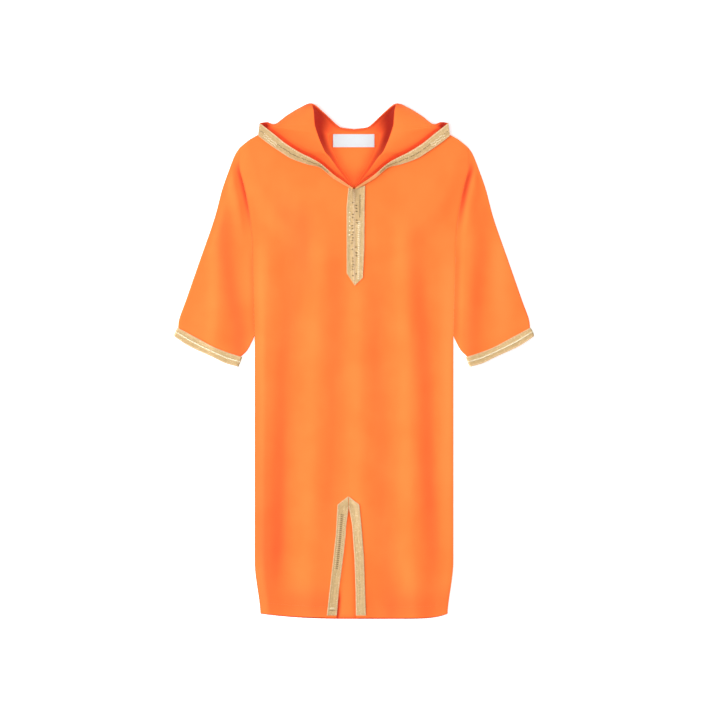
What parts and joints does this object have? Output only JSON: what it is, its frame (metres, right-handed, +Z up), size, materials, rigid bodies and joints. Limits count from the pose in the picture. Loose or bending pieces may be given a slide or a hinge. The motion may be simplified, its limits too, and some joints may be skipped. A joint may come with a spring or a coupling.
{
  "type": "djellaba",
  "caption": "Child's long hooded robe laid flat, front up, sleeves spread, hood pushed back behind the neck, with woven braid on placket, cuffs, hood edge and hem slit.",
  "frame": {"origin": "centre of the bounding box, on the surface the garment lies on", "axes": "+Z up from the surface through the front of the garment, +Y from hem to neck, +X to the right as seen from above the front"},
  "size_m": [0.596, 0.851, 0.037],
  "materials": {
    "crepe": "matt fine-grained polyester crepe, light orange",
    "braid": "woven braid with pale gold metallic thread",
    "label": "plain white woven label"
  },
  "bodies": {
    "root": {"back_body": "crepe", "front_body": "crepe", "hood_layers": "crepe", "sleeve_left": "crepe", "sleeve_right": "crepe", "hood_left": "crepe", "hood_right": "crepe", "hood_trim_left": "braid", "hood_trim_right": "braid", "cuff_trim_left": "braid", "cuff_trim_right": "braid", "placket_trim_left": "braid", "placket_trim_right": "braid", "slit_trim_left": "braid", "slit_trim_right": "braid", "neck_label": "label"}
  },
  "joints": []
}
